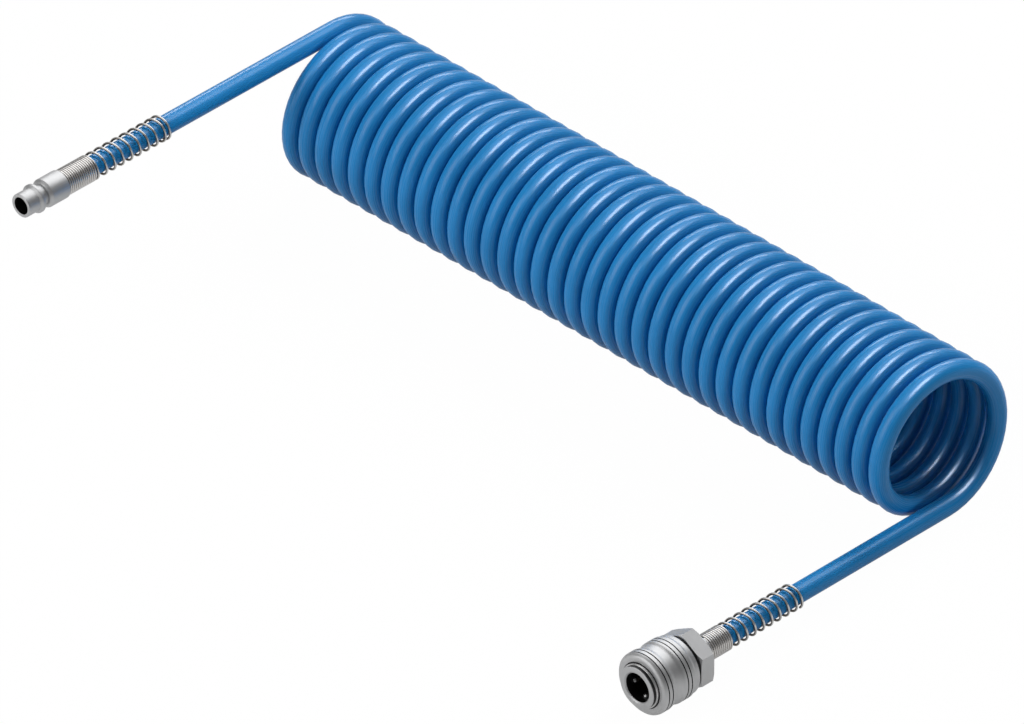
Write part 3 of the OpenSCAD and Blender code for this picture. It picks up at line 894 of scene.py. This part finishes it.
# Each inner spring is pressed between a seat that moves and one that doesn't
for name, radius, wire, turns, body, from_t, to_t, node in (
    ("return_spring", SLEEVE_SPRING_R, SLEEVE_WIRE_D, SLEEVE_SPRING_TURNS, "sleeve",
     LAND_TO, SHOULDER_FROM, "sleeve_spring"),
    ("shut_spring", VALVE_SPRING_R, VALVE_WIRE_D, VALVE_SPRING_TURNS, "valve",
     VALVE_HEAD_TO, SPRING_SEAT_T, "valve_spring"),
):
    spring = seated_spring(name, radius, wire, turns, from_t, to_t)
    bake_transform(spring, body, "coupler_side",
             start=AT_COUPLER @ Vector((0, 0, from_t + wire / 2)),
             end=AT_COUPLER @ Vector((0, 0, to_t - wire / 2)))
    dress(spring, BRIGHT_STEEL, stands_for=[node])

# The balls, the poppet and its seal are shown as the frame has them
for number in range(1, BALL_COUNT + 1):
    dress(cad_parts[f"lock_ball_{number}"], SHADED_BALL_STEEL)
dress(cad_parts["valve_poppet"], BRASS)
dress(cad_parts["valve_seal"], RUBBER)


# ---------- floor and light ----------

FLOOR_HALF = 4.0
WINDOW = Vector((-0.50, 0.60, 0.62)).normalized()
LAMP_AIM = Vector((0, 0.06, 0.03))
NEAR = 1.8
FAR = 6.0


def seen_share(tree, in_view, in_gloss):
    """A share for what the camera sees, also through glass, one for reflections, and else 0."""
    path = put(tree, "ShaderNodeLightPath")
    total = None
    for ray, share in (
        ("Is Camera Ray", in_view), ("Is Transmission Ray", in_view), ("Is Glossy Ray", in_gloss)
    ):
        part = put(tree, "ShaderNodeMath", {1: share}, operation="MULTIPLY")
        tree.links.new(path.outputs[ray], part.inputs[0])
        if total is None:
            total = part.outputs[0]
            continue
        more = put(tree, "ShaderNodeMath", operation="MAXIMUM")
        tree.links.new(total, more.inputs[0])
        tree.links.new(part.outputs[0], more.inputs[1])
        total = more.outputs[0]
    return total


def make_floor():
    """A floor that looks white, shines a little in the gloss and sends little light back up."""
    bm = bmesh.new()
    bmesh.ops.create_grid(bm, x_segments=2, y_segments=2, size=FLOOR_HALF)
    floor = mesh_object(bm, "floor")
    finish, tree, shader = new_finish("floor_white")
    shader.inputs["Roughness"].default_value = 0.9
    shader.inputs["Specular IOR Level"].default_value = 0.0
    output = tree.nodes["Material Output"]
    glow = put(tree, "ShaderNodeEmission", {"Color": (1, 1, 1, 1), "Strength": 1.0})
    pale = put(tree, "ShaderNodeMapRange", {"To Min": 0.4, "To Max": 0.9})
    tree.links.new(seen_share(tree, 1.0, 0.05), pale.inputs["Value"])
    tree.links.new(pale.outputs["Result"], shader.inputs["Base Color"])
    mix = put(tree, "ShaderNodeMixShader")
    tree.links.new(seen_share(tree, 0.985, 0.33), mix.inputs["Fac"])
    tree.links.new(shader.outputs[0], mix.inputs[1])
    tree.links.new(glow.outputs[0], mix.inputs[2])
    tree.links.new(mix.outputs[0], output.inputs["Surface"])
    floor.data.materials.append(finish)


def make_world():
    """White to the camera, dim walls to the gloss, and next to no light on the object."""
    world = bpy.data.worlds.new("studio")
    world.use_nodes = True
    tree = world.node_tree
    room = tree.nodes["Background"]
    room.inputs["Color"].default_value = (0.92, 0.95, 1.0, 1)
    room.inputs["Strength"].default_value = 0.035
    way = put(tree, "ShaderNodeTexCoord").outputs["Generated"]
    # The walls brighten a little towards one high window
    towards = put(tree, "ShaderNodeVectorMath", operation="DOT_PRODUCT")
    towards.inputs[1].default_value = WINDOW
    tree.links.new(way, towards.inputs[0])
    walls = ramp(tree, towards.outputs["Value"], [
        (place, (level, level, level * 1.01)) for place, level in (
            (0.10, 0.16), (0.45, 0.17), (1.0, 0.40))
    ])
    mirrored = put(tree, "ShaderNodeBackground", {"Strength": 1.0})
    tree.links.new(walls, mirrored.inputs["Color"])
    seen = put(tree, "ShaderNodeBackground", {"Color": (1, 1, 1, 1), "Strength": 1.0})
    shown = room
    for other, in_view, in_gloss in ((mirrored, 0.0, 1.0), (seen, 1.0, 0.0)):
        mix = put(tree, "ShaderNodeMixShader")
        tree.links.new(seen_share(tree, in_view, in_gloss), mix.inputs["Fac"])
        tree.links.new(shown.outputs[0], mix.inputs[1])
        tree.links.new(other.outputs[0], mix.inputs[2])
        shown = mix
    tree.links.new(shown.outputs[0], tree.nodes["World Output"].inputs["Surface"])
    bpy.context.scene.world = world


def softbox(name, direction, distance, size, power, lights=True, reflects=True):
    """A lamp that faces the object from a direction in the camera's right, up and back."""
    right, up, back = (STAND.to_3x3() @ axis for axis in camera_turn())
    way = (right * direction[0] + up * direction[1] + back * direction[2]).normalized()
    data = bpy.data.lights.new(name, "AREA")
    data.shape = "RECTANGLE"
    data.size, data.size_y = size
    data.energy = power
    lamp = bpy.data.objects.new(name, data)
    bpy.context.scene.collection.objects.link(lamp)
    lamp.location = LAMP_AIM + way * distance
    lamp.rotation_mode = "QUATERNION"
    lamp.rotation_quaternion = (-way).to_track_quat("-Z", "Y")
    lamp.visible_diffuse = lights
    lamp.visible_glossy = reflects
    return lamp


metal_pieces = [
    piece for piece in bpy.context.scene.objects if piece.type == "MESH" and piece != hose]
make_floor()
make_world()
softbox("key_box", (0.49, 0.84, 0.00), NEAR, (1.1, 1.1), 30.5, reflects=False)
softbox("left_box", (-0.9, 0.1, 0.6), NEAR, (1.6, 1.6), 12.0)
softbox("side_box", (-0.76, 0.22, 0.62), NEAR, (1.1, 1.1), 19.5, reflects=False)
# Far out on the coil's axis, for its last turn's face and the tails, also when it is drawn out
softbox("end_box", (0.710, -0.406, 0.575), FAR, (1.65, 1.65), 150.0, reflects=False)
# Strips give the tube its short glints and the line along its tails, and a wide box the soft light
# around them; another wide box gives the satin metal its sheen
tube_glint = softbox("tube_glint", (0.30, 0.62, 0.70), NEAR, (1.2, 0.70), 54.0, lights=False)
tube_halo = softbox("tube_halo", (0.05, 0.75, 0.62), NEAR, (3.4, 2.2), 56.0, lights=False)
tube_halo.data.color = (0.82, 0.97, 1.0)
tube_line = softbox("tube_line", (0.04, 0.88, -0.47), NEAR, (1.2, 0.35), 11.0, lights=False)
metal_sheen = softbox("metal_sheen", (0.18, 0.98, -0.10), NEAR, (2.3, 2.3), 24.0, lights=False)
for lamp, pieces in (
        (tube_glint, [hose]), (tube_halo, [hose]), (tube_line, [hose]),
        (metal_sheen, metal_pieces)):
    lit = bpy.data.collections.new(lamp.name + "_pieces")
    for piece in pieces:
        lit.objects.link(piece)
    lamp.light_linking.receiver_collection = lit
bpy.context.scene.view_settings.view_transform = "Standard"
